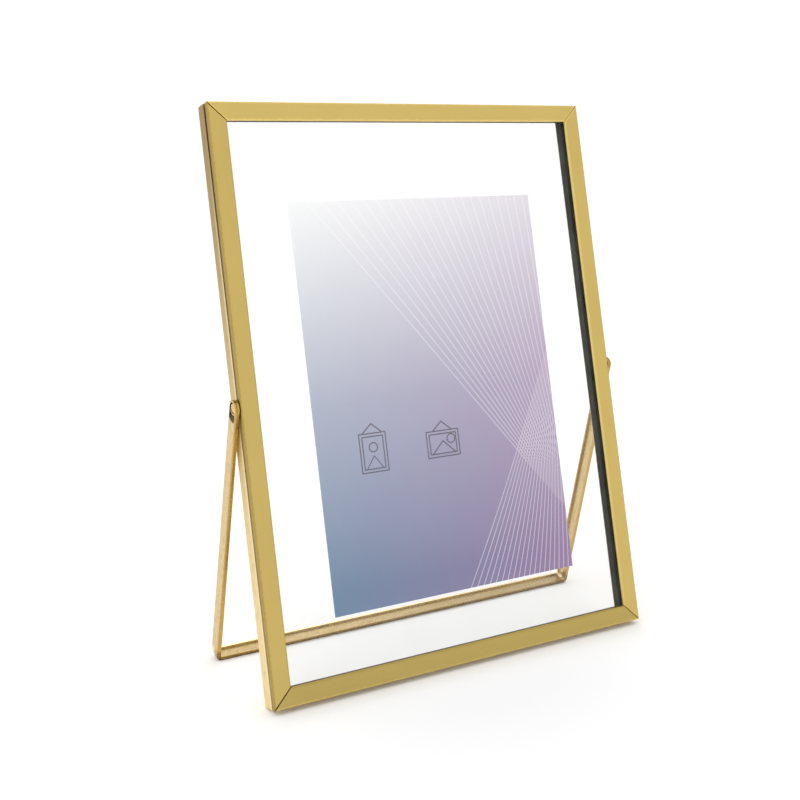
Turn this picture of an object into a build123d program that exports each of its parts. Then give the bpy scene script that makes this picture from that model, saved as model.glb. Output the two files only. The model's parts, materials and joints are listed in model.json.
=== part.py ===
from build123d import *
from math import acos, atan2, cos, degrees, hypot, radians, sin, tan
import os

# Floating picture frame on a swing-out stand.
# A front shell of four mitred rails nests in a back shell of four mitred rails.
# Between them two glass panes hold a loose print, pressed forward by foam rubber strips.
# A bent channel stand turns on one slotted screw in the middle of each side.
# Millimetres and degrees. Z is up, the front faces -Y, and the object stands on Z = 0
# with the origin under the middle of the space it takes up.

# ---------------------------------------------------------------- driving dimensions

# Whole frame
frame_width = 161.4            # outside the side rails
frame_height = 216.0           # outside the top and bottom rails, along the leaned frame
frame_depth = 9.6              # front face to back plane
lean_angle = 13.4              # how far the frame leans back when it stands

# Front rails: a face, an outer lip round the side and a thinner web that nests inside
face_width = 6.9
face_thickness = 1.0
lip_depth = 2.3                # front face to the back edge of the outer lip
nested_web_gap = 0.5           # back edge of the nested web to the back flange
front_web_thickness = 0.8
face_edge_radius = 0.45
lip_edge_radius = 0.25
left_mitre_gap = 0.30          # the two left corners stand a little open
right_mitre_gap = 0.10

# Back rails: a side web and a flange behind the panes
back_web_thickness = 0.8
back_flange_width = 5.0
back_flange_thickness = 0.8
back_edge_radius = 0.4
back_mitre_gap = 0.06
nest_clearance = 0.15          # between the nested web and the back web
seam_at_bottom = 0.25          # gap from the front lip to the back web, bottom edge
seam_at_top = 1.5              # the same gap at the top edge

# Panes, print and strips
pane_thickness = 2.0
pane_side_clearance = 0.15     # pane edges clear of the nuts
pane_top_clearance = 0.5
pane_edge_chamfer = 0.2
print_width = 105.7
print_height = 152.4
print_thickness = 0.25
print_clearance = 0.04         # air between the print and each pane
print_drop = 4.9               # print centre below the frame's centre
strip_overhang = 0.4           # strips stand this far inside the back flanges
strip_mitre_gap = 0.1

# Corner keys inside the front shell
key_length = 16.0
key_thickness = 1.0
key_set_back = 0.4             # behind the back pane

# Swing stand: a shallow channel with its lips turned towards the frame
pivot_height = 106.3           # bottom of the frame to the pivot axis
pivot_depth = 3.7              # front face to the pivot axis
bar_clearance = 0.15           # folded bar clear of the bottom rail
channel_width = 6.5
channel_lip = 1.5
channel_sheet = 0.6
channel_edge_radius = 0.5
bend_radius = 2.1              # outside the two lower corners
end_overhang = 0.1             # round tops of the legs, over half the channel width
fold_slit = 0.2                # saw cut through the lips where the channel is folded
lip_clearance = 0.4            # stand lips clear of the side rails
recess_edge = 0.15             # flat left between a pressed recess and the rounded edge
recess_floor_margin = 0.15     # recess floor beyond half its width, before its wall rises
recess_slope = 20.0            # how steeply the recess wall rises down the leg

# Pivot hardware, the same on both sides
screw_diameter = 2.5
running_clearance = 0.05       # on the radius, stand and washers on the screw
axial_play = 0.05
washer_overhang = 0.3          # outer washer beyond the screw head
head_rim = 0.35
head_height = 1.0
slot_width = 0.7
slot_depth = 0.55
slot_angle = 55.0              # turned from upright
outer_washer_clearance = 0.2   # washer rim clear of the sides of the recess
outer_washer_thickness = 0.25
thrust_washer_diameter = 5.0
nut_size = 5.0
nut_thickness = 1.5
nut_corner_chamfer = 0.4
thread_clearance = 0.03

# ---------------------------------------------------------------- worked-out positions

lean = radians(lean_angle)
nested_web_outside = back_web_thickness + nest_clearance
shell_thickness = nested_web_outside + front_web_thickness
flange_front = frame_depth - back_flange_thickness
nested_web_depth = flange_front - nested_web_gap

front_pane_depth = face_thickness
print_depth = front_pane_depth + pane_thickness + print_clearance
back_pane_depth = print_depth + print_thickness + print_clearance
strip_depth = back_pane_depth + pane_thickness

nut_inside = shell_thickness + nut_thickness
pane_side_margin = nut_inside + pane_side_clearance
strip_width = back_flange_width + strip_overhang - pane_side_margin
key_depth = strip_depth + key_set_back
key_width = nested_web_depth - key_depth

stand_half_width = frame_width / 2 + lip_clearance + channel_lip
stand_length = pivot_height + bar_clearance + channel_lip
end_radius = channel_width / 2 + end_overhang
recess_depth = channel_lip - channel_sheet
recess_half_width = channel_width / 2 - channel_edge_radius - recess_edge
recess_floor_radius = recess_half_width + recess_floor_margin
recess_rim_radius = recess_floor_radius + recess_depth / tan(radians(recess_slope))
thrust_washer_thickness = lip_clearance - axial_play
outer_washer_diameter = 2 * (recess_half_width - outer_washer_clearance)
head_diameter = outer_washer_diameter - 2 * washer_overhang

# The frame stands on the rounded bottom edge of its back shell.
rest_drop = (frame_depth - back_edge_radius) * sin(lean) + back_edge_radius * (1 - cos(lean))

# The stand opens until the rounded front edge of its bar reaches the same floor.
pivot_above_floor = rest_drop + pivot_height * cos(lean) - pivot_depth * sin(lean)
edge_centre_along = stand_length - channel_edge_radius
edge_centre_across = channel_width / 2 - channel_edge_radius
edge_reach = hypot(edge_centre_along, edge_centre_across)
stand_slope = atan2(edge_centre_across, edge_centre_along) + acos(
    (pivot_above_floor - channel_edge_radius) / edge_reach
)

# Front-most and rear-most points on the floor plan, for an origin under the middle.
front_reach = face_edge_radius * (sin(lean) + cos(lean) - 1)
pivot_back = pivot_height * sin(lean) + pivot_depth * cos(lean)
bar_back = (
    pivot_back
    + edge_centre_along * sin(stand_slope)
    + edge_centre_across * cos(stand_slope)
    + channel_edge_radius
)
top_back = (
    (frame_height - back_edge_radius) * sin(lean)
    + (frame_depth - back_edge_radius) * cos(lean)
    + back_edge_radius
)
front_edge_y = -(front_reach + max(bar_back, top_back)) / 2

right = Vector(1, 0, 0)
frame_up = Vector(0, sin(lean), cos(lean))
frame_back = Vector(0, cos(lean), -sin(lean))
front_plane = Plane(origin=(0, front_edge_y, rest_drop), x_dir=right, z_dir=-frame_back)


def on_frame(across, up, depth):
    """Point across from the middle, up from the bottom edge, back from the front face."""
    return front_plane.from_local_coords(Vector(across, up, -depth))


stand_down = Vector(0, sin(stand_slope), -cos(stand_slope))
stand_back = Vector(0, cos(stand_slope), sin(stand_slope))
pivot_centre = on_frame(0, pivot_height, pivot_depth)
stand_plane = Plane(origin=pivot_centre, x_dir=right, z_dir=-stand_back)

# Each side of the frame: middle of its outer edge, inward direction and length
sides = {
    "top": ((0, frame_height), -frame_up, frame_width),
    "bottom": ((0, 0), frame_up, frame_width),
    "left": ((-frame_width / 2, frame_height / 2), right, frame_height),
    "right": ((frame_width / 2, frame_height / 2), -right, frame_height),
}
pivot_sides = {"left": -1, "right": 1}


# ---------------------------------------------------------------- shared construction

def section_plane(side):
    """Cross-section plane of one side: X inward from the outer edge, Y back from the face."""
    (across, up), inward, _ = sides[side]
    return Plane(origin=on_frame(across, up, 0), x_dir=inward, z_dir=inward.cross(frame_back))


def cut_mitres(side, left_gap, right_gap):
    """Cut both ends of the rail being built on the frame's corner diagonals."""
    plane = section_plane(side)
    _, inward, length = sides[side]
    for end in (-1, 1):
        along = plane.z_dir * end
        corner = plane.origin + along * (length / 2)
        gap = left_gap if corner.X < 0 else right_gap
        diagonal = (along + inward).normalized()
        split(bisect_by=Plane(corner - diagonal * (gap / 2), z_dir=diagonal), keep=Keep.BOTTOM)


def drill_pivot(diameter):
    """Drill through the part being built along the pivot axis."""
    with BuildSketch(Plane(origin=pivot_centre, z_dir=right)) as bore:
        Circle(diameter / 2)
    extrude(bore.sketch, amount=frame_width, both=True, mode=Mode.SUBTRACT)


def finish(builder, name):
    """Name one finished piece and write its STEP file."""
    builder.part.label = name
    export_step(builder.part, f"parts/{name}.step")


os.makedirs("parts", exist_ok=True)

# ---------------------------------------------------------------- front shell

screw_hole = screw_diameter + 2 * running_clearance

for side, (_, _, length) in sides.items():
    with BuildPart() as front_rail:
        with BuildSketch(section_plane(side)):
            with BuildLine():
                Polyline(
                    (0, 0),
                    (face_width, 0),
                    (face_width, face_thickness),
                    (shell_thickness, face_thickness),
                    (shell_thickness, nested_web_depth),
                    (nested_web_outside, nested_web_depth),
                    (nested_web_outside, lip_depth),
                    (0, lip_depth),
                    close=True,
                )
            make_face()
            fillet(vertices().group_by(Axis.X)[0].sort_by(Axis.Y)[-1], lip_edge_radius)
        extrude(amount=length / 2, both=True)
        cut_mitres(side, left_mitre_gap, right_mitre_gap)
        face_edges = faces().sort_by(Axis(front_plane.origin, frame_back))[0].edges()
        fillet(face_edges, face_edge_radius)
        if side in pivot_sides:
            drill_pivot(screw_hole)
    finish(front_rail, f"front_rail_{side}")

# Angle keys that hold the front mitres, flat against the nested webs behind the panes
key_across = frame_width / 2 - shell_thickness
key_corners = {
    "top": frame_height - shell_thickness,
    "bottom": shell_thickness,
}

for level, key_up in key_corners.items():
    down = 1 if level == "bottom" else -1
    for side, out in pivot_sides.items():
        corner_plane = Plane(
            origin=on_frame(out * key_across, key_up, key_depth + key_width),
            x_dir=right,
            z_dir=-frame_back,
        )
        with BuildPart() as corner_key:
            with BuildSketch(corner_plane):
                with BuildLine():
                    Polyline(
                        (0, 0),
                        (-out * key_length, 0),
                        (-out * key_length, down * key_thickness),
                        (-out * key_thickness, down * key_thickness),
                        (-out * key_thickness, down * key_length),
                        (0, down * key_length),
                        close=True,
                    )
                make_face()
            extrude(amount=key_width)
        finish(corner_key, f"corner_key_{level}_{side}")

# ---------------------------------------------------------------- back shell

# All back webs stop at one plane, which leans away from the front lip towards the top.
seam_rise = frame_up * frame_height + frame_back * (seam_at_top - seam_at_bottom)
seam_plane = Plane(
    origin=on_frame(0, 0, lip_depth + seam_at_bottom),
    z_dir=right.cross(seam_rise).normalized(),
)

for side, (_, _, length) in sides.items():
    with BuildPart() as back_rail:
        with BuildSketch(section_plane(side)):
            with BuildLine():
                Polyline(
                    (0, 0),
                    (back_web_thickness, 0),
                    (back_web_thickness, flange_front),
                    (back_flange_width, flange_front),
                    (back_flange_width, frame_depth),
                    (0, frame_depth),
                    close=True,
                )
            make_face()
            fillet(vertices().group_by(Axis.X)[0].sort_by(Axis.Y)[-1], back_edge_radius)
        extrude(amount=length / 2, both=True)
        cut_mitres(side, back_mitre_gap, back_mitre_gap)
        split(bisect_by=seam_plane, keep=Keep.BOTTOM)
        if side in pivot_sides:
            drill_pivot(screw_hole)
    finish(back_rail, f"back_rail_{side}")

# ---------------------------------------------------------------- panes, print and strips

pane_width = frame_width - 2 * pane_side_margin
pane_height = frame_height - 2 * shell_thickness - pane_top_clearance
pane_middle = shell_thickness + pane_height / 2

for pane_name, pane_depth in (("front_glass", front_pane_depth), ("back_glass", back_pane_depth)):
    pane_plane = Plane(on_frame(0, pane_middle, pane_depth + pane_thickness), right, -frame_back)
    with BuildPart() as pane:
        with BuildSketch(pane_plane):
            Rectangle(pane_width, pane_height)
        extrude(amount=pane_thickness)
        chamfer(edges(), pane_edge_chamfer)
    finish(pane, pane_name)

print_middle = frame_height / 2 - print_drop
print_back = print_depth + print_thickness
print_plane = Plane(on_frame(0, print_middle, print_back), right, -frame_back)

with BuildPart() as print_insert:
    with BuildSketch(print_plane):
        Rectangle(print_width, print_height)
    extrude(amount=print_thickness)
finish(print_insert, "print_insert")

for side, (_, _, length) in sides.items():
    with BuildPart() as strip:
        with BuildSketch(section_plane(side)):
            with Locations((pane_side_margin, strip_depth)):
                Rectangle(strip_width, flange_front - strip_depth, align=(Align.MIN, Align.MIN))
        extrude(amount=length / 2, both=True)
        cut_mitres(side, strip_mitre_gap, strip_mitre_gap)
    finish(strip, f"foam_strip_{side}")

# ---------------------------------------------------------------- swing stand

def leg_plane(out, half_width):
    """Plane across one pivot: X down the leg, Z inward, at this distance from the middle."""
    return Plane(
        origin=pivot_centre + right * out * half_width, x_dir=stand_down, z_dir=right * -out
    )


def pressed_cone(out, half_width, half_span):
    """The flat-bottomed cone by which the web is pressed in, kept between the two lips."""
    section = Plane(
        origin=pivot_centre + right * out * half_width, x_dir=stand_down, z_dir=stand_back * out
    )
    with BuildPart() as cone:
        with BuildSketch(section):
            with BuildLine():
                Polyline(
                    (0, 0),
                    (recess_rim_radius, 0),
                    (recess_floor_radius, recess_depth),
                    (0, recess_depth),
                    close=True,
                )
            make_face()
        revolve(axis=Axis(pivot_centre, right))
        with BuildSketch(leg_plane(out, half_width)) as kept:
            Rectangle(recess_rim_radius, 2 * half_span, align=(Align.MIN, Align.CENTER))
            Circle(half_span)
        extrude(kept.sketch, amount=recess_depth, mode=Mode.INTERSECT)
    return cone.part


with BuildPart() as swing_stand:
    with BuildLine(stand_plane) as bend_line:
        FilletPolyline(
            (-stand_half_width, channel_width),
            (-stand_half_width, -stand_length),
            (stand_half_width, -stand_length),
            (stand_half_width, channel_width),
            radius=bend_radius,
        )
    # The channel section, drawn across the top of the left leg: X inward, Y across
    leg_top = Plane(origin=bend_line.line @ 0, x_dir=right, z_dir=bend_line.line % 0)
    with BuildSketch(leg_top):
        with Locations((channel_lip / 2, 0)):
            Rectangle(channel_lip, channel_width)
        fillet(vertices().group_by(Axis.X)[0], channel_edge_radius)
        with Locations((channel_sheet, 0)):
            Rectangle(
                channel_lip,
                channel_width - 2 * channel_sheet,
                align=(Align.MIN, Align.CENTER),
                mode=Mode.SUBTRACT,
            )
    sweep(path=bend_line.wire())

    # Trim the tops of the legs round about the pivot
    with BuildSketch(Plane(origin=pivot_centre, x_dir=stand_down, z_dir=right)):
        Rectangle(2 * channel_width, 2 * channel_width, align=(Align.MAX, Align.CENTER))
        Circle(end_radius, mode=Mode.SUBTRACT)
    extrude(amount=2 * stand_half_width, both=True, mode=Mode.SUBTRACT)

    # The web round each pivot is pressed in as far as the lips reach, and the lip runs
    # on round the top of the leg
    for out in (-1, 1):
        leg_inside = stand_half_width - channel_sheet
        with BuildSketch(leg_plane(out, leg_inside)) as end_lip:
            Circle(end_radius)
            Circle(recess_floor_radius, mode=Mode.SUBTRACT)
            Rectangle(
                2 * channel_width,
                2 * channel_width,
                align=(Align.MIN, Align.CENTER),
                mode=Mode.SUBTRACT,
            )
        extrude(end_lip.sketch, amount=recess_depth)
        add(pressed_cone(out, leg_inside, channel_width / 2 - channel_sheet / 2))
        add(pressed_cone(out, stand_half_width, recess_half_width), mode=Mode.SUBTRACT)

    # Saw cuts through the lips on the corner diagonals, down to the web
    for out in (-1, 1):
        bend_centre = stand_plane.from_local_coords(
            Vector(out * (stand_half_width - bend_radius), bend_radius - stand_length, 0)
        )
        diagonal = (right * out + stand_down).normalized()
        slit_plane = Plane(origin=bend_centre, x_dir=diagonal, z_dir=diagonal.cross(stand_back))
        with BuildSketch(slit_plane):
            Rectangle(bend_radius - channel_sheet, channel_width, align=(Align.MIN, Align.CENTER))
        extrude(amount=fold_slit / 2, both=True, mode=Mode.SUBTRACT)

    drill_pivot(screw_hole)
finish(swing_stand, "swing_stand")

# ---------------------------------------------------------------- pivot hardware

washer_seat = stand_half_width - recess_depth + axial_play
head_seat = washer_seat + outer_washer_thickness
nut_face = frame_width / 2 - shell_thickness

for side, out in pivot_sides.items():
    outward = right * out
    # X runs outward along the pivot axis from the middle of the frame
    axis_plane = Plane(origin=pivot_centre, x_dir=outward, z_dir=stand_back)
    pivot_axis = Axis(pivot_centre, outward)

    with BuildPart() as pivot_screw:
        with BuildSketch(axis_plane):
            with BuildLine():
                Polyline(
                    (head_seat + head_height, 0),
                    (nut_face - nut_thickness, 0),
                    (nut_face - nut_thickness, screw_diameter / 2),
                    (head_seat, screw_diameter / 2),
                    (head_seat, head_diameter / 2),
                    (head_seat + head_rim, head_diameter / 2),
                )
                TangentArc(
                    (head_seat + head_height, 0),
                    (head_seat + head_rim, head_diameter / 2),
                    tangent=(0, 1),
                )
            make_face()
        revolve(axis=pivot_axis)
        slot_floor = Plane(
            origin=pivot_centre + outward * (head_seat + head_height - slot_depth),
            x_dir=stand_back,
            z_dir=outward,
        )
        with BuildSketch(slot_floor):
            Rectangle(slot_width, 2 * head_diameter, rotation=slot_angle)
        extrude(amount=head_height, mode=Mode.SUBTRACT)
    finish(pivot_screw, f"pivot_screw_{side}")

    with BuildPart() as outer_washer:
        with BuildSketch(axis_plane):
            with Locations((washer_seat, screw_hole / 2)):
                Rectangle(
                    outer_washer_thickness,
                    (outer_washer_diameter - screw_hole) / 2,
                    align=(Align.MIN, Align.MIN),
                )
        revolve(axis=pivot_axis)
    finish(outer_washer, f"outer_washer_{side}")

    with BuildPart() as thrust_washer:
        with BuildSketch(axis_plane):
            with Locations((frame_width / 2, screw_hole / 2)):
                Rectangle(
                    thrust_washer_thickness,
                    (thrust_washer_diameter - screw_hole) / 2,
                    align=(Align.MIN, Align.MIN),
                )
        revolve(axis=pivot_axis)
    finish(thrust_washer, f"thrust_washer_{side}")

    nut_plane = Plane(origin=pivot_centre + outward * nut_face, x_dir=frame_back, z_dir=outward)
    with BuildPart() as square_nut:
        with BuildSketch(nut_plane):
            Rectangle(nut_size, nut_size)
            chamfer(vertices(), nut_corner_chamfer)
            Circle(screw_diameter / 2 + thread_clearance, mode=Mode.SUBTRACT)
        extrude(amount=-nut_thickness)
    finish(square_nut, f"square_nut_{side}")

print("stand slope from upright:", round(degrees(stand_slope), 2))
print("fold angle from frame:", round(degrees(stand_slope) + lean_angle, 2))
print("pivot axis at:", pivot_centre)
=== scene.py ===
import json
import math

import bpy
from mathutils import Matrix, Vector


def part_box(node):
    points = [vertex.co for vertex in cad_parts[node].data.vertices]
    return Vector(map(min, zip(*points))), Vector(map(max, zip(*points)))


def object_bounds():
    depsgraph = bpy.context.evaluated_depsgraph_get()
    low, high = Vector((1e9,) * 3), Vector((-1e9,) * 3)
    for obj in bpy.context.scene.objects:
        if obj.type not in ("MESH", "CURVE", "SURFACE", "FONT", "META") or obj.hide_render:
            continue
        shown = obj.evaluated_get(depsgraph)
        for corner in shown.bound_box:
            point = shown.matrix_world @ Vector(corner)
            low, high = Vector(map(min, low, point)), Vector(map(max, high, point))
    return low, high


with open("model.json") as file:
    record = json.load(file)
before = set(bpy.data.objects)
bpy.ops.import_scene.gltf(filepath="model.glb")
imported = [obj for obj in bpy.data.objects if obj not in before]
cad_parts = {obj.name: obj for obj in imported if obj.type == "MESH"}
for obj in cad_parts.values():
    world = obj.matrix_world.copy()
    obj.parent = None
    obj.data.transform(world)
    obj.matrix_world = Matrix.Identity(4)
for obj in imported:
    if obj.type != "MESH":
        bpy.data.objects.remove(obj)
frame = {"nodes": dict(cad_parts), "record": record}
cad_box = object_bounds()
record = frame["record"]

# A leaning picture frame on a swing stand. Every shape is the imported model's own, so
# this script makes the finishes, the stage, the lights and the camera. Metres.

MM = 0.001

# ---------------------------------------------------------------- places on the frame


def extent(direction, *names):
    """Least and greatest reach of these CAD nodes along a direction."""
    reach = [v.co.dot(direction) for name in names for v in frame["nodes"][name].data.vertices]
    return min(reach), max(reach)


SIDES = ("top", "bottom", "left", "right")
FRONT_RAILS = [f"front_rail_{side}" for side in SIDES]

# The frame leans back from upright, and the folded stand lies along it. At rest the
# stand has swung out by the fold angle, which leaves it sloping the other way.
hinge = record["behaviour"]["joints"][0]
back = Vector(record["mounts"][0]["axis"])
up = Vector((0, -back.z, back.y))
lean = math.atan2(-back.z, back.y)
fold = -math.radians(hinge["range_deg"][0])
slope = fold - lean

front_depth, _ = extent(back, *FRONT_RAILS)
foot, head = extent(up, *FRONT_RAILS)
half_height = (head - foot) / 2
half_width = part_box("front_rail_right")[1].x
face_width = half_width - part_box("front_rail_right")[0].x

print_foot, print_head = extent(up, "print_insert")
print_front, print_back = extent(back, "print_insert")
half_print = (print_head - print_foot) / 2
print_half_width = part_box("print_insert")[1].x

pivot = Vector(hinge["pos_m"])
stand_down = Vector((0, math.sin(slope), -math.cos(slope)))
stand_back = Vector((0, math.cos(slope), math.sin(slope)))
_, bar_reach = extent(stand_down, "swing_stand")
stand_reach = bar_reach - pivot.dot(stand_down)
_, channel_back = extent(stand_back, "swing_stand")
half_channel = channel_back - pivot.dot(stand_back)
stand_half_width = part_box("swing_stand")[1].x

# Small sizes of the parts that the finishes follow
LIP_REACH = 2.3 * MM           # front rails, from their face back to the seam
SEAM_AT_BOTTOM = 0.25 * MM
SEAM_AT_TOP = 1.5 * MM
CHANNEL_SHEET = 0.6 * MM
END_OVERHANG = 0.1 * MM        # round tops of the legs, over half the channel's width
BAR_TOP = 3.5 * MM             # the bar's finish ends at this height over its underside
LEG_FOOT = 5 * MM              # and the legs' finish starts at this one
CORNER_BLUR = 0.2 * MM         # how gradually a finish changes at a hard corner

# ---------------------------------------------------------------- shader helper


def srgb(red, green, blue):
    """Linear colour from 0 to 255 screen values."""
    return tuple(((c / 255 + 0.055) / 1.055) ** 2.4 for c in (red, green, blue))


class Shader:
    """One node material under construction, around its Principled shader."""

    def __init__(self, name, **sockets):
        self.material = bpy.data.materials.new(name)
        self.material.use_nodes = True
        self.nodes = self.material.node_tree.nodes
        self.links = self.material.node_tree.links
        self.surface = self.nodes["Principled BSDF"]
        for socket, value in sockets.items():
            self.set(socket.replace("_", " "), value)

    def fill(self, socket, value):
        """Link a socket to this one, or store a plain value in it."""
        if isinstance(value, bpy.types.NodeSocket):
            self.links.new(value, socket)
        elif socket.type == "RGBA":
            socket.default_value = (*value, 1)
        else:
            socket.default_value = value

    def set(self, name, value):
        """Fill one socket of the Principled shader."""
        self.fill(self.surface.inputs[name], value)

    def math(self, operation, *values):
        """One step of arithmetic."""
        node = self.nodes.new("ShaderNodeMath")
        node.operation = operation
        for socket, value in zip(node.inputs, values):
            self.fill(socket, value)
        return node.outputs[0]

    def plus(self, first, second):
        return self.math("ADD", first, second)

    def minus(self, first, second):
        return self.math("SUBTRACT", first, second)

    def times(self, first, second):
        return self.math("MULTIPLY", first, second)

    def over(self, first, second):
        return self.math("DIVIDE", first, second)

    def unsigned(self, value):
        return self.math("ABSOLUTE", value)

    def more(self, first, second):
        """1 where the first is more than the second, and 0 elsewhere."""
        return self.math("GREATER_THAN", first, second)

    def length(self, first, second):
        """Distance from two parts at a right angle."""
        return self.math("SQRT", self.plus(self.times(first, first), self.times(second, second)))

    def mix(self, factor, first, second):
        """Colour from first, at factor 0, to second, at 1."""
        node = self.nodes.new("ShaderNodeMix")
        node.data_type = "RGBA"
        for socket, value in zip((0, 6, 7), (factor, first, second)):
            self.fill(node.inputs[socket], value)
        return node.outputs[2]

    def blend(self, factor, first, second):
        """Number from first, at factor 0, to second, at 1."""
        node = self.nodes.new("ShaderNodeMix")
        for socket, value in zip((0, 2, 3), (factor, first, second)):
            self.fill(node.inputs[socket], value)
        return node.outputs[0]

    def ramp(self, value, start, end, low=0.0, high=1.0):
        """Straight change from low, where value is start, to high, where it is end."""
        node = self.nodes.new("ShaderNodeMapRange")
        for socket, number in zip(node.inputs, (value, start, end, low, high)):
            self.fill(socket, number)
        return node.outputs[0]

    def fade(self, value, start, end, low=0.0, high=1.0):
        """The same change as a ramp, but gentle at both ends."""
        result = self.ramp(value, start, end, low, high)
        result.node.interpolation_type = "SMOOTHSTEP"
        return result

    def place(self, turn=0.0, origin=(0, 0, 0)):
        """The surface point turned about X by an angle, measured from an origin."""
        where = self.nodes.new("ShaderNodeTexCoord").outputs["Object"]
        mapping = self.nodes.new("ShaderNodeMapping")
        self.fill(mapping.inputs["Vector"], where)
        mapping.inputs["Rotation"].default_value = (turn, 0, 0)
        mapping.inputs["Location"].default_value = tuple(-c for c in origin)
        return mapping.outputs[0]

    def parts(self, vector):
        """The X, Y and Z parts of a vector."""
        node = self.nodes.new("ShaderNodeSeparateXYZ")
        self.fill(node.inputs[0], vector)
        return node.outputs

    def noise(self, vector, cells, detail=3.0, roughness=0.5):
        """Noise with so many cells a metre: one number, or one for each axis."""
        scaled = self.nodes.new("ShaderNodeVectorMath")
        scaled.operation = "MULTIPLY"
        self.fill(scaled.inputs[0], vector)
        scaled.inputs[1].default_value = cells if isinstance(cells, tuple) else (cells,) * 3
        node = self.nodes.new("ShaderNodeTexNoise")
        self.fill(node.inputs["Vector"], scaled.outputs[0])
        node.inputs["Scale"].default_value = 1.0
        node.inputs["Detail"].default_value = detail
        node.inputs["Roughness"].default_value = roughness
        return node.outputs["Fac"]

    def shade(self, distance):
        """How open the surface is, from 0 in a tight corner to 1."""
        node = self.nodes.new("ShaderNodeAmbientOcclusion")
        node.samples = 8
        node.inputs["Distance"].default_value = distance
        return node.outputs["AO"]

    def bump(self, height, depth):
        """Raise the surface by height times a depth in metres."""
        node = self.nodes.new("ShaderNodeBump")
        node.inputs["Strength"].default_value = 1.0
        node.inputs["Distance"].default_value = depth
        self.fill(node.inputs["Height"], height)
        self.set("Normal", node.outputs[0])


def frame_place(shader):
    """Across from the middle, back from the front face, up from the frame's middle."""
    return shader.place(turn=lean, origin=(0, front_depth, (head + foot) / 2))


def stand_place(shader):
    """Across from the middle, back from the legs' middle plane, up from the pivot axis."""
    return shader.place(
        turn=-slope, origin=(0, pivot.dot(stand_back), -pivot.dot(stand_down))
    )


def brushed_across(run, cross):
    """Cells a metre for brushing that runs across the frame."""
    return (run, cross, cross)


def brushed_up(run, cross):
    """Cells a metre for brushing that runs up the frame."""
    return (cross, cross, run)


def brushed_along(side, run, cross):
    """Cells a metre for brushing that runs along this side's rail."""
    brushing = brushed_across if side in ("top", "bottom") else brushed_up
    return brushing(run, cross)


# ---------------------------------------------------------------- metals

FACE_GOLD = srgb(196, 172, 99)
BRIGHT_GOLD = srgb(242, 214, 134)
RETURN_GOLD = srgb(158, 132, 62)
PALE_GOLD = srgb(236, 212, 150)
TOP_DARK_GOLD = srgb(150, 122, 62)
BROWN_GOLD = srgb(178, 136, 74)
BRUSHED_AND_HIGHLIGHT_GOLD = srgb(246, 226, 172)
STAND_GOLD = srgb(208, 182, 126)
SHADED_BAR_GOLD = srgb(172, 150, 108)
LIP_GOLD = srgb(190, 154, 74)
SHADE_GOLD = srgb(140, 106, 42)
BRASS = srgb(232, 198, 128)
SHADE_BROWN = srgb(44, 28, 14)
RECESS_SHADE_BROWN = srgb(58, 38, 26)
SLOT_SHADE_BLACK = srgb(14, 9, 6)
DARK_ZINC = srgb(182, 184, 184)
LIGHT_ZINC = srgb(214, 215, 212)
WORN_ZINC = srgb(140, 140, 136)

# Painted light on each front rail: its tone, lighter or darker as light falls on it, and how
# strong the painted highlight is on its outer and inner edges
RAIL_PAINTED_LIGHT = {
    "top": (1.10, 0.75, 0.85),
    "bottom": (0.82, 0.70, 0.10),
    "left": (1.0, 0.10, 0.25),
    "right": (1.07, 0.35, 0.75),
}


def rail_distances(shader, across, level):
    """Distances on a front rail's face: from its outer edge, nearer edge and mitre cuts."""
    from_side = shader.minus(half_width, shader.unsigned(across))
    from_end = shader.minus(half_height, shader.unsigned(level))
    outer = shader.math("MINIMUM", from_side, from_end)
    middle = face_width / 2
    nearer = shader.minus(middle, shader.unsigned(shader.minus(outer, middle)))
    mitre = shader.times(shader.unsigned(shader.minus(from_side, from_end)), math.sqrt(0.5))
    return outer, nearer, mitre


def rail_highlights(shader, where, nearer_edge, to_mitre):
    """Painted highlights on a front rail's rounded edges: along its two long edges and at its
    mitre cuts.
    """
    least_glint, most_glint = 0.55 * MM, 0.95 * MM
    mitre_glint, mitre_fade = 0.25 * MM, 0.6 * MM
    face_end, return_start = 0.5 * MM, 0.9 * MM
    _, depth, level = shader.parts(where)
    on_face = shader.fade(depth, face_end, return_start, 1.0, 0.0)
    patchy = shader.noise(where, 900, detail=2)
    width = shader.fade(patchy, 0.3, 0.7, least_glint, most_glint)
    edge = shader.times(shader.fade(shader.over(nearer_edge, width), 0.35, 1.0, 1.0, 0.0), on_face)
    # The mitre cuts get a finer painted highlight, and only above the frame's middle
    mitre = shader.times(shader.fade(to_mitre, mitre_glint, mitre_fade, 0.7, 0.0), on_face)
    mitre = shader.times(mitre, shader.fade(level, 0, half_height))
    return edge, mitre


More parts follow.
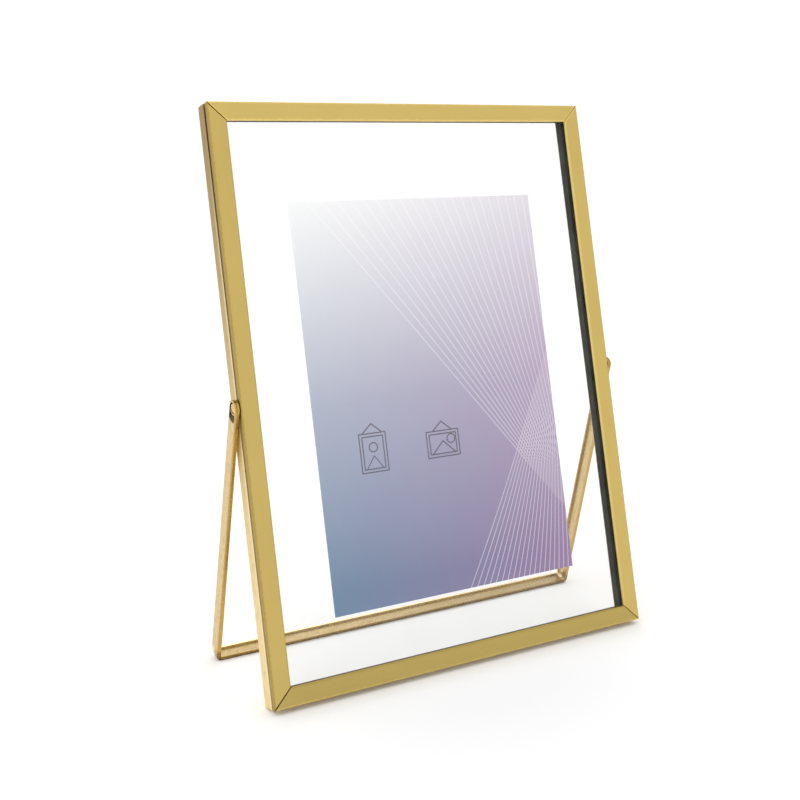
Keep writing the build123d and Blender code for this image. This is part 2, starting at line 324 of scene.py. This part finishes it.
def satin_gold(side):
    """A front rail: a satin face between edges with painted highlights, and painted shade on the
    web nested behind it.
    """
    light_tone, outer_glint, inner_glint = RAIL_PAINTED_LIGHT[side]
    shader = Shader(f"satin_gold_{side}", Metallic=0.85)
    where = frame_place(shader)
    across, depth, level = shader.parts(where)
    outer_edge, nearer_edge, to_mitre = rail_distances(shader, across, level)
    edge, mitre = rail_highlights(shader, where, nearer_edge, to_mitre)
    glint = shader.fade(
        outer_edge, 0.4 * face_width, 0.6 * face_width, outer_glint, inner_glint
    )

    brushed = shader.noise(where, brushed_along(side, 70, 5200), detail=4, roughness=0.6)
    cloudy = shader.noise(where, 28, detail=2)
    # Painted light: each rail's face is made lighter or darker by its tone, as light falls on it
    face = tuple(c * light_tone for c in FACE_GOLD)
    colour = shader.mix(shader.fade(brushed, 0.3, 0.7, 0.0, 0.12), face, BRIGHT_GOLD)
    colour = shader.mix(shader.fade(cloudy, 0.35, 0.75, 0.0, 0.08), colour, RETURN_GOLD)
    colour = shader.mix(shader.fade(depth, 0.4 * MM, 0.9 * MM), colour, RETURN_GOLD)
    # Painted shade: the web nested behind the return, seen in the seam, is painted near black
    nested = shader.fade(depth, LIP_REACH, LIP_REACH + CORNER_BLUR)
    colour = shader.mix(nested, colour, SHADE_BROWN)
    # Painted highlight on the rounded edges and the mitre cuts, stronger where the rail's glint is
    # set high
    edge_gold = shader.mix(glint, RETURN_GOLD, BRIGHT_GOLD)
    colour = shader.mix(shader.times(edge, 0.85), colour, edge_gold)
    shader.set("Base Color", shader.mix(mitre, colour, BRIGHT_GOLD))
    shader.set("Roughness", shader.fade(brushed, 0.25, 0.75, 0.40, 0.52))
    shader.bump(brushed, 0.012 * MM)
    return shader.material


def pale_gold(side):
    """A back rail: paler, brushed along its length, mottled, darker towards the top."""
    glint_beside, glint_fade = 0.3 * MM, 2.2 * MM
    shader = Shader(f"pale_gold_{side}", Metallic=0.85)
    where = frame_place(shader)
    _, depth, level = shader.parts(where)
    brushed = shader.noise(where, brushed_along(side, 90, 4200), detail=4, roughness=0.65)
    mottled = shader.noise(where, brushed_along(side, 380, 900), detail=5, roughness=0.7)
    height = shader.fade(level, -half_height, half_height)
    colour = shader.mix(height, PALE_GOLD, TOP_DARK_GOLD)
    colour = shader.mix(shader.fade(mottled, 0.45, 0.8, 0.0, 0.5), colour, BROWN_GOLD)
    colour = shader.mix(shader.fade(brushed, 0.4, 0.75, 0.0, 0.15), colour, BRUSHED_AND_HIGHLIGHT_GOLD)

    # Painted highlight: the edge beside the seam is painted brighter, less and less towards the
    # top
    seam = shader.ramp(
        level, -half_height, half_height, LIP_REACH + SEAM_AT_BOTTOM, LIP_REACH + SEAM_AT_TOP
    )
    beside = shader.fade(shader.minus(depth, seam), glint_beside, glint_fade, 0.65, 0.0)
    wear_and_glint = shader.times(beside, shader.fade(level, half_height, 0.3 * half_height))
    shader.set("Base Color", shader.mix(wear_and_glint, colour, BRUSHED_AND_HIGHLIGHT_GOLD))
    shader.set("Roughness", shader.fade(mottled, 0.3, 0.7, 0.30, 0.46))
    shader.bump(brushed, 0.02 * MM)
    return shader.material


def pivot_recess(shader, across, from_axis, to_edge):
    """How far a point of the stand is into the recess pressed in round a pivot."""
    sunk = shader.minus(stand_half_width, shader.unsigned(across))
    in_web = shader.times(
        shader.fade(sunk, 0.06 * MM, 0.18 * MM),
        shader.fade(to_edge, 0.45 * MM, 0.65 * MM),
    )
    return shader.times(in_web, shader.fade(from_axis, 5.0 * MM, 5.6 * MM, 0.92, 0.0))


def stand_gold():
    """The channel: pale brushed web, with painted shade that makes its lips yellower and its
    hollows and recesses dark.
    """
    shader = Shader("stand_gold", Metallic=0.88)
    where = stand_place(shader)
    across, depth, level = shader.parts(where)
    # The brushing turns with the channel: up the legs, along the bar
    on_bar = shader.fade(level, BAR_TOP - stand_reach, LEG_FOOT - stand_reach, 1.0, 0.0)
    legs = shader.noise(where, brushed_up(110, 4200), detail=4, roughness=0.65)
    bar = shader.noise(where, brushed_across(110, 4200), detail=4, roughness=0.65)
    brushed = shader.blend(on_bar, legs, bar)
    mottled = shader.noise(where, (700, 700, 420), detail=5, roughness=0.7)
    # The channel's outline runs round the top of each leg
    from_axis = shader.length(depth, level)
    to_side = shader.minus(half_channel, shader.unsigned(depth))
    to_top = shader.minus(half_channel + END_OVERHANG, from_axis)
    to_edge = shader.blend(shader.more(level, 0.0), to_side, to_top)
    lip = shader.fade(to_edge, 0.25 * MM, 0.75 * MM, 1.0, 0.0)

    # Painted shade: the bar's web is painted darker and greyer than the legs' web
    colour = shader.mix(on_bar, STAND_GOLD, SHADED_BAR_GOLD)
    colour = shader.mix(shader.fade(mottled, 0.42, 0.8, 0.0, 0.6), colour, BROWN_GOLD)
    colour = shader.mix(shader.fade(brushed, 0.4, 0.75, 0.0, 0.35), colour, BRUSHED_AND_HIGHLIGHT_GOLD)
    # Painted shade and highlight: on the legs the lips are painted darker and yellower than the
    # web; on the bar the front lip is painted in deeper shade, and the back lip is painted bright
    # above the web
    behind = shader.more(depth, 0.0)
    lip_gold = shader.mix(on_bar, LIP_GOLD, shader.mix(behind, SHADE_GOLD, STAND_GOLD))
    colour = shader.mix(shader.times(lip, 0.85), colour, lip_gold)
    web_inside = CHANNEL_SHEET - stand_reach
    above_web = shader.fade(level, web_inside, web_inside + CORNER_BLUR)
    inner_face = shader.times(shader.times(on_bar, behind), above_web)
    colour = shader.mix(inner_face, colour, BRUSHED_AND_HIGHLIGHT_GOLD)
    # Painted shade: ambient occlusion darkens the channel's hollows towards near black
    hollow = shader.fade(shader.shade(3 * MM), 0.1, 0.5, 0.35, 0.0)
    colour = shader.mix(hollow, colour, SHADE_BROWN)
    # Painted shade: the recess round the pivot is painted dark brown, standing in for the screw
    # head's shadow and a dark reflection
    recess = pivot_recess(shader, across, from_axis, to_edge)
    shader.set("Base Color", shader.mix(recess, colour, RECESS_SHADE_BROWN))
    shader.set("Roughness", shader.fade(mottled, 0.3, 0.75, 0.22, 0.42))
    shader.bump(brushed, 0.02 * MM)
    return shader.material


def screw_brass():
    """Turned and polished heads, with painted shade in the slot and round the rim."""
    shader = Shader("screw_brass", Metallic=1.0)
    where = shader.place()
    turned = shader.noise(where, (2600, 900, 900), detail=4, roughness=0.6)
    stain = shader.noise(where, 1100, detail=4, roughness=0.65)
    # Painted shade: ambient occlusion paints the slot and the rim near black
    hollow = shader.fade(shader.shade(0.9 * MM), 0.5, 0.92, 1.0, 0.0)
    colour = shader.mix(shader.fade(stain, 0.45, 0.75, 0.0, 0.4), BRASS, BROWN_GOLD)
    shader.set("Base Color", shader.mix(hollow, colour, SLOT_SHADE_BLACK))
    shader.set("Roughness", shader.fade(turned, 0.3, 0.7, 0.12, 0.30))
    shader.bump(turned, 0.02 * MM)
    return shader.material


def zinc():
    """Bright zinc plate with its faint crystal spangle."""
    shader = Shader("zinc_plate", Metallic=1.0)
    where = shader.place()
    spangle = shader.nodes.new("ShaderNodeTexVoronoi")
    shader.fill(spangle.inputs["Vector"], where)
    spangle.inputs["Scale"].default_value = 900
    shine = shader.parts(spangle.outputs["Color"])[0]
    wear_and_glint = shader.noise(where, 1500, detail=4)
    colour = shader.mix(shine, DARK_ZINC, LIGHT_ZINC)
    colour = shader.mix(shader.fade(wear_and_glint, 0.5, 0.8, 0.0, 0.4), colour, WORN_ZINC)
    shader.set("Base Color", colour)
    shader.set("Roughness", shader.fade(shine, 0.0, 1.0, 0.25, 0.42))
    shader.bump(wear_and_glint, 0.02 * MM)
    return shader.material


# ---------------------------------------------------------------- panes and soft parts

GLASS_TINT = srgb(232, 240, 236)
FOAM_DARK = srgb(16, 18, 14)
FOAM_DUSTY = srgb(46, 43, 33)
FOAM_PORE = srgb(14, 16, 16)
NYLON_BLACK = srgb(22, 21, 20)
NYLON_SCUFFED = srgb(52, 50, 46)


def clear_glass():
    """Thin clear glass: a faint cool veil that grows to a mirror at a glancing view."""
    shader = Shader("clear_glass", IOR=1.5, Base_Color=GLASS_TINT)
    glance = shader.nodes.new("ShaderNodeLayerWeight")
    glance.inputs["Blend"].default_value = 0.5
    mirror = shader.math("POWER", glance.outputs["Facing"], 5.0)
    wiped = shader.noise(shader.place(), 35, detail=4, roughness=0.6)
    veil = shader.fade(wiped, 0.3, 0.8, 0.012, 0.024)
    shader.set("Alpha", shader.plus(veil, shader.times(mirror, 0.6)))
    shader.set("Roughness", shader.fade(wiped, 0.3, 0.8, 0.02, 0.06))
    return shader.material


def foam():
    """Dark open-cell strip, dusty in patches."""
    shader = Shader("foam_rubber")
    shader.set("Specular IOR Level", 0.2)
    where = shader.place()
    cells = shader.noise(where, 2600, detail=5, roughness=0.7)
    dusty = shader.noise(where, (260, 260, 120), detail=3)
    colour = shader.mix(shader.fade(dusty, 0.35, 0.75), FOAM_DARK, FOAM_DUSTY)
    colour = shader.mix(shader.fade(cells, 0.5, 0.8, 0.0, 0.5), colour, FOAM_PORE)
    shader.set("Base Color", colour)
    shader.set("Roughness", shader.fade(cells, 0.3, 0.7, 0.75, 0.95))
    shader.bump(cells, 0.12 * MM)
    return shader.material


def nylon():
    """Moulded black washers, a little scuffed."""
    shader = Shader("nylon_washer")
    scuffs = shader.noise(shader.place(), 3000, detail=4)
    shader.set("Base Color", shader.mix(scuffs, NYLON_BLACK, NYLON_SCUFFED))
    shader.set("Roughness", shader.fade(scuffs, 0.3, 0.7, 0.45, 0.65))
    shader.bump(scuffs, 0.02 * MM)
    return shader.material


# ---------------------------------------------------------------- printed card

# The card's tint at its left and right edges
CARD_TOP = (srgb(245, 245, 245), srgb(223, 218, 225))
CARD_MIDDLE = (srgb(171, 177, 195), srgb(172, 154, 182))
CARD_FOOT = (srgb(103, 130, 159), srgb(147, 118, 158))
CARD_LINE = srgb(255, 252, 255)
CARD_INK = srgb(58, 46, 54)
CARD_BACK = (srgb(238, 237, 233), srgb(248, 247, 244))
LINE_STRENGTH = 0.38
INK_STRENGTH = 0.75
FAN_LINE = 0.27 * MM           # from the middle of a line to where its ink ends
SIGN_LINE = 0.32 * MM          # the same, in the pictograms


def card_tint(shader, across, level):
    """White at the top left, through lilac grey, to steel blue and mauve at the foot."""
    rightward = shader.ramp(across, -print_half_width, print_half_width)
    downward = shader.ramp(level, half_print, -half_print)
    top, middle, low = (
        shader.mix(rightward, *tints) for tints in (CARD_TOP, CARD_MIDDLE, CARD_FOOT)
    )
    upper_part = shader.mix(shader.ramp(downward, 0.0, 0.5), top, middle)
    return shader.mix(shader.ramp(downward, 0.5, 0.95), upper_part, low)


def line_fan(shader, across, level, corner, turn, count, bend):
    """A fan of thin curved lines about a corner, as ink from 0 to 1. Turn is in degrees."""
    start, end = (math.radians(angle) for angle in turn)
    run = shader.minus(across, corner[0])
    rise = shader.minus(level, corner[1])
    far = shader.length(run, rise)
    angle = shader.plus(shader.math("ARCTAN2", run, rise), shader.times(far, bend))
    share = shader.over(shader.minus(angle, start), end - start)
    step = shader.math("FRACT", shader.times(share, count))
    from_middle = shader.unsigned(shader.minus(step, 0.5))
    spacing = shader.times(far, abs(end - start) / count)
    gap = shader.times(shader.minus(0.5, from_middle), spacing)
    ink = shader.fade(gap, FAN_LINE * 0.4, FAN_LINE, 1.0, 0.0)
    # Lines thin out where they crowd together
    ink = shader.times(ink, shader.fade(spacing, 0.3 * MM, 1.2 * MM, 0.3, 1.0))
    inside = shader.times(shader.more(share, -0.02), shader.math("LESS_THAN", share, 1.02))
    return shader.times(ink, inside)


def card_fans(shader, across, level):
    """Two fans from points beyond the right edge: one opens upward, one downward."""
    beyond_edge = 1.06 * print_half_width
    upper = line_fan(
        shader, across, level,
        corner=(beyond_edge, -0.74 * half_print), turn=(-37, -0.5), count=21, bend=0.05,
    )
    lower = line_fan(
        shader, across, level,
        corner=(beyond_edge, 0.26 * half_print), turn=(-155, -181), count=19, bend=-0.5,
    )
    return shader.math("MAXIMUM", upper, lower)


def pictogram(shader, across, level, middle, size, disc):
    """A hung picture in thin lines: two outlines, a disc, a peak and a hanging wire."""
    border = 1.2 * MM
    disc_radius = 1.7 * MM
    peak_height = 4.8 * MM
    wire_half_width, wire_height = 4.2 * MM, 3.6 * MM
    foot_gap = 2 * MM
    slant = 0.7
    wide, tall = size
    run = shader.minus(across, middle[0])
    rise = shader.minus(level, middle[1])

    def stroke(distance):
        return shader.fade(shader.unsigned(distance), SIGN_LINE * 0.45, SIGN_LINE, 1.0, 0.0)

    def outline(half_wide, half_tall):
        beside = shader.minus(shader.unsigned(run), half_wide)
        above = shader.minus(shader.unsigned(rise), half_tall)
        return stroke(shader.math("MAXIMUM", beside, above))

    def peak(base, half_wide, height):
        above_base = shader.minus(rise, base)
        fall = shader.times(shader.unsigned(run), height / half_wide)
        upright_off = shader.minus(shader.plus(above_base, fall), height)
        # The distance across a slanting line is shorter than the upright one
        off_line = shader.times(upright_off, slant)
        return shader.times(stroke(off_line), shader.more(above_base, 0.0))

    from_disc = shader.length(shader.minus(run, disc[0]), shader.minus(rise, disc[1]))
    strokes = [
        outline(wide / 2, tall / 2),
        outline(wide / 2 - border, tall / 2 - border),
        stroke(shader.minus(from_disc, disc_radius)),
        peak(border - tall / 2, wide / 2 - foot_gap, peak_height),
        peak(tall / 2, wire_half_width, wire_height),
    ]
    ink = strokes[0]
    for extra in strokes[1:]:
        ink = shader.math("MAXIMUM", ink, extra)
    return ink


def card_signs(shader, across, level):
    """Two small pictograms of a hung picture, one upright and one wide."""
    upright = pictogram(
        shader, across, level,
        middle=(-0.565 * print_half_width, -0.25 * half_print),
        size=(11 * MM, 14.5 * MM), disc=(0, 2 * MM),
    )
    wide = pictogram(
        shader, across, level,
        middle=(0, -0.255 * half_print),
        size=(14 * MM, 10 * MM), disc=(3.6 * MM, 1.6 * MM),
    )
    return shader.math("MAXIMUM", upright, wide)


def printed_card():
    """A generic card in front, with no lettering, and plain paper at its back."""
    shader = Shader("print_paper", Roughness=0.45)
    shader.set("Specular IOR Level", 0.35)
    middle = (0, (print_front + print_back) / 2, (print_foot + print_head) / 2)
    where = shader.place(turn=lean, origin=middle)
    across, depth, level = shader.parts(where)
    colour = card_tint(shader, across, level)
    lines = shader.times(card_fans(shader, across, level), LINE_STRENGTH)
    colour = shader.mix(lines, colour, CARD_LINE)
    signs = shader.times(card_signs(shader, across, level), INK_STRENGTH)
    colour = shader.mix(signs, colour, CARD_INK)
    fibre = shader.noise(where, 2400, detail=4)
    plain = shader.mix(fibre, *CARD_BACK)
    shader.set("Base Color", shader.mix(shader.more(depth, 0.0), colour, plain))
    shader.bump(fibre, 0.01 * MM)
    return shader.material


# ---------------------------------------------------------------- finishes on the parts


def finish_nodes(start, material):
    """Give this material to every CAD node whose name starts this way."""
    for name, node in frame["nodes"].items():
        if name.startswith(start):
            node.data.materials.clear()
            node.data.materials.append(material)


for side in SIDES:
    finish_nodes(f"front_rail_{side}", satin_gold(side))
    finish_nodes(f"back_rail_{side}", pale_gold(side))

finishes = {
    "corner_key": zinc(),
    "square_nut": zinc(),
    "foam_strip": foam(),
    "thrust_washer": nylon(),
    "pivot_screw": screw_brass(),
    "outer_washer": screw_brass(),
    "front_glass": clear_glass(),
    "back_glass": clear_glass(),
    "print_insert": printed_card(),
    "swing_stand": stand_gold(),
}
for start, material in finishes.items():
    finish_nodes(start, material)

# ---------------------------------------------------------------- stage, light and camera

WHITE = (0.98, 0.98, 0.98)
OFF_WHITE = (0.97, 0.97, 0.97)


def make_floor():
    """A wide pale floor that the object stands on."""
    half = 6.0
    mesh = bpy.data.meshes.new("studio_floor")
    corners = [(-half, -half, 0), (half, -half, 0), (half, half, 0), (-half, half, 0)]
    mesh.from_pydata(corners, [], [(0, 1, 2, 3)])
    floor = bpy.data.objects.new("studio_floor", mesh)
    bpy.context.scene.collection.objects.link(floor)
    shader = Shader("studio_floor", Roughness=0.9)
    shader.set("Specular IOR Level", 0.1)
    shader.set("Base Color", shader.mix(shader.noise(shader.place(), 20), OFF_WHITE, WHITE))
    mesh.materials.append(shader.material)


def make_lamp(name, place, target, size, power):
    """A square softbox at a place, turned to a target."""
    data = bpy.data.lights.new(name, "AREA")
    data.size = size
    data.energy = power
    lamp = bpy.data.objects.new(name, data)
    lamp.location = place
    lamp.rotation_mode = "QUATERNION"
    lamp.rotation_quaternion = (target - Vector(place)).to_track_quat("-Z", "Y")
    bpy.context.scene.collection.objects.link(lamp)


def make_world():
    """An even white surround."""
    world = bpy.data.worlds.new("studio")
    world.use_nodes = True
    surround = world.node_tree.nodes["Background"]
    surround.inputs["Color"].default_value = (1, 1, 1, 1)
    surround.inputs["Strength"].default_value = 1.04
    bpy.context.scene.world = world


def make_camera():
    """The photographer's place, to the frame's left and level with its head, looking down."""
    place = Vector((-0.22854, -0.40617, 0.20223))
    turn_right = 0.535         # radians
    tilt_down = 0.167
    data = bpy.data.cameras.new("camera")
    data.lens = 55.07
    data.shift_x = -0.0750
    data.shift_y = -0.0800
    data.clip_start = 0.01
    camera = bpy.data.objects.new("camera", data)
    camera.location = place
    camera.rotation_euler = (math.pi / 2 - tilt_down, 0, -turn_right)
    bpy.context.scene.collection.objects.link(camera)
    bpy.context.scene.camera = camera


make_floor()
make_world()
centre = (cad_box[0] + cad_box[1]) / 2
make_lamp("key", (-1.1, -0.5, 1.3), centre, size=0.9, power=3)
make_lamp("back", (0.3, 1.0, 1.3), centre, size=0.9, power=2)
make_camera()
bpy.context.scene.view_settings.view_transform = "Standard"
